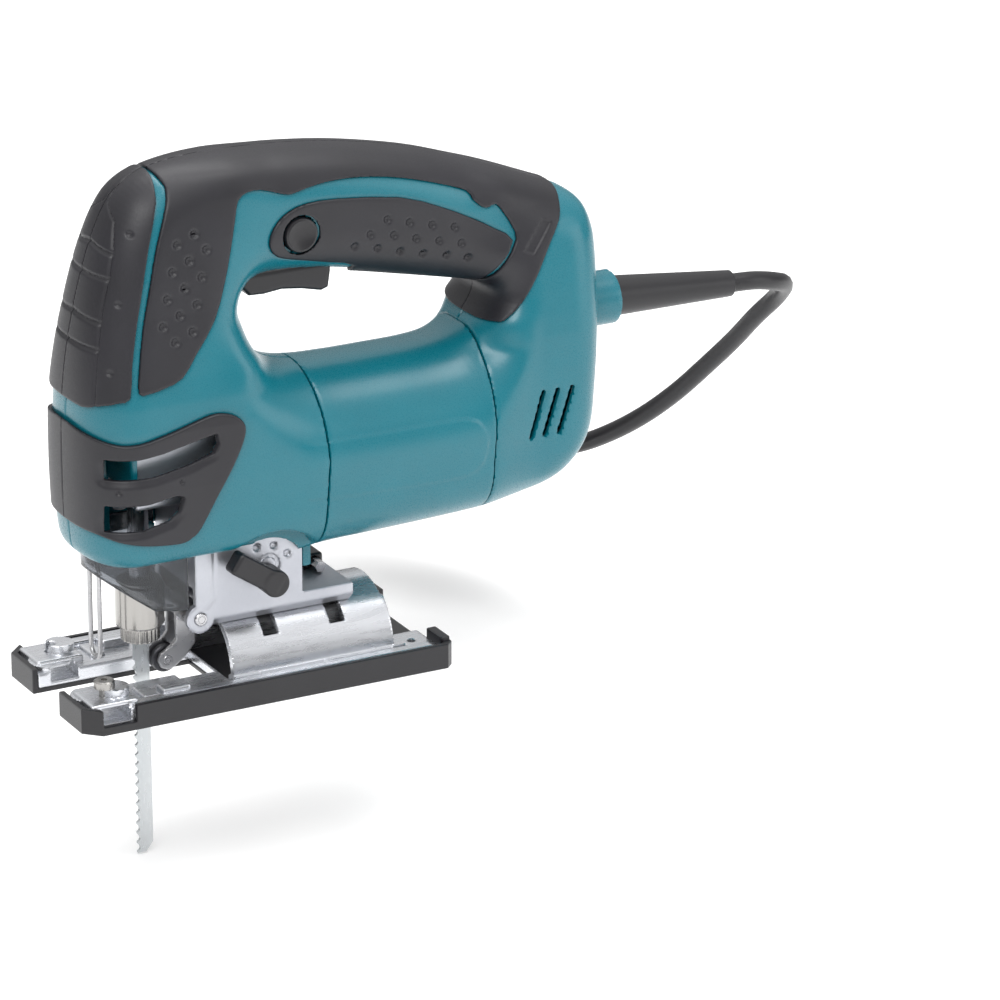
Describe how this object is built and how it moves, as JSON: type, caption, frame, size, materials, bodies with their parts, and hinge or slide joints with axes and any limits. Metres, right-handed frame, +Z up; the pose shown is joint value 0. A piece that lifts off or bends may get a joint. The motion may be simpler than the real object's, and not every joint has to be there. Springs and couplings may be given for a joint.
{
  "type": "jigsaw",
  "caption": "Corded top-handle orbital jigsaw with loop handle, trigger, round motor barrel, tool-free blade clamp, bevelling sole plate and a fitted blade.",
  "frame": {"origin": "centre of the sole plate's underside", "axes": "+X towards the rear where the lead leaves, -X towards the blade end, -Y the side with the orbit lever, +Z up out of the sole plate"},
  "size_m": [0.3347, 0.3205, 0.2761],
  "materials": {
    "teal_plastic": "fine grain, moulded in teal",
    "grip_rubber": "matt, soft moulded-on rubber",
    "cast_aluminium": "cast and shot-blasted",
    "sintered_bronze": "oiled sintered bronze",
    "bearing_steel": "ground steel",
    "pressed_steel": "zinc-plated steel",
    "dark_fasteners": "blackened steel",
    "electrical_steel": "stacked electrical steel sheets",
    "copper": "varnished copper",
    "insulator": "moulded insulating resin",
    "carbon": "pressed carbon",
    "black_plastic": "black moulded plastic",
    "lamp_lens": "milky lens",
    "nickel": "nickel-plated, polished",
    "blade_steel": "bright carbon steel",
    "smoke_clear": "clear, lightly smoked polycarbonate"
  },
  "bodies": {
    "machine": {"housing_left": "teal_plastic", "housing_right": "teal_plastic", "motor_housing": "teal_plastic", "grip_left": "grip_rubber", "grip_right": "grip_rubber", "handle_pad_left": "grip_rubber", "handle_pad_right": "grip_rubber", "bumper_left": "grip_rubber", "bumper_right": "grip_rubber", "vent_cover_left": "grip_rubber", "vent_cover_right": "grip_rubber", "gear_housing": "cast_aluminium", "rod_bushings": "sintered_bronze", "gear_bearing": "bearing_steel", "front_bearing": "bearing_steel", "rear_bearing": "bearing_steel", "stator_core": "electrical_steel", "field_coils": "copper", "brush_holders": "insulator", "carbon_brushes": "carbon", "switch_body": "black_plastic", "control_board": "insulator", "work_lamp": "lamp_lens", "wire_guard": "pressed_steel", "housing_screws": "dark_fasteners", "gear_housing_screws": "dark_fasteners", "clamp_plate": "pressed_steel", "clamp_bolts": "dark_fasteners", "hex_key": "dark_fasteners", "cord_clamp": "black_plastic", "cord_guard": "black_plastic", "cord": "black_plastic", "cord_coil": "black_plastic", "plug": "black_plastic", "fork_pin": "bearing_steel"},
    "armature": {"armature_shaft": "bearing_steel", "armature_core": "electrical_steel", "commutator": "copper", "fan": "black_plastic"},
    "gear_wheel": {"drive_gear": "bearing_steel", "crank_pin": "bearing_steel", "counterweight": "pressed_steel"},
    "plunger": {"plunger_rod": "bearing_steel", "yoke": "pressed_steel", "blade_clamp": "nickel", "blade": "blade_steel"},
    "sleeve": {"clamp_sleeve": "nickel"},
    "fork": {"roller_fork": "pressed_steel", "roller_pin": "bearing_steel"},
    "back_roller": {"roller": "bearing_steel"},
    "orbit_selector": {"orbit_lever": "black_plastic", "orbit_cam": "bearing_steel"},
    "trigger_key": {"trigger": "black_plastic"},
    "lock_key": {"lock_button": "black_plastic"},
    "dial": {"speed_dial": "black_plastic"},
    "chip_screen": {"chip_cover": "smoke_clear"},
    "sole": {"base_plate": "cast_aluminium", "base_cover": "black_plastic", "base_screws": "nickel"}
  },
  "joints": [
    {"name": "sole_tilt", "type": "hinge", "parent": "machine", "child": "sole", "pos_m": [0, 0, 0.006], "axis": [1, 0, 0], "range_deg": [-45, 45]},
    {"name": "blade_stroke", "type": "slide", "parent": "machine", "child": "plunger", "axis": [0, 0, 1], "range_m": [0, 0.026]},
    {"name": "sleeve_turn", "type": "hinge", "parent": "plunger", "child": "sleeve", "pos_m": [-0.0375, 0, 0.0345], "axis": [0, 0, 1], "range_deg": [0, 60], "stiffness_Nm_per_rad": 0.02},
    {"name": "roller_swing", "type": "hinge", "parent": "machine", "child": "fork", "pos_m": [-0.0204, 0, 0.0305], "axis": [0, -1, 0], "range_deg": [0, 4], "stiffness_Nm_per_rad": 0.05},
    {"name": "roller_spin", "type": "hinge", "parent": "fork", "child": "back_roller", "pos_m": [-0.02855, 0, 0.011], "axis": [0, 1, 0], "continuous": true},
    {"name": "armature_turn", "type": "hinge", "parent": "machine", "child": "armature", "pos_m": [0.03, 0, 0.0895], "axis": [1, 0, 0], "continuous": true},
    {"name": "gear_turn", "type": "hinge", "parent": "machine", "child": "gear_wheel", "pos_m": [-0.017, 0, 0.11033], "axis": [1, 0, 0], "continuous": true},
    {"name": "orbit_select", "type": "hinge", "parent": "machine", "child": "orbit_selector", "pos_m": [0.0065, -0.02, 0.0435], "axis": [0, 1, 0], "range_deg": [0, 102]},
    {"name": "trigger_press", "type": "slide", "parent": "machine", "child": "trigger_key", "axis": [0, 0, 1], "range_m": [0, 0.005], "stiffness_N_per_m": 1500, "springref_m": -0.002},
    {"name": "lock_press", "type": "slide", "parent": "machine", "child": "lock_key", "axis": [0, 1, 0], "range_m": [0, 0.0035], "stiffness_N_per_m": 1200, "springref_m": -0.001},
    {"name": "speed_set", "type": "hinge", "parent": "machine", "child": "dial", "pos_m": [0.122, 0.015, 0.143], "axis": [0, 0, 1], "range_deg": [0, 270]},
    {"name": "chip_cover_lift", "type": "slide", "parent": "machine", "child": "chip_screen", "axis": [0, 0, 1], "range_m": [0, 0.012]}
  ],
  "couplings": [
    {"joint": "gear_turn", "follows": "armature_turn", "ratio": -0.19512}
  ]
}
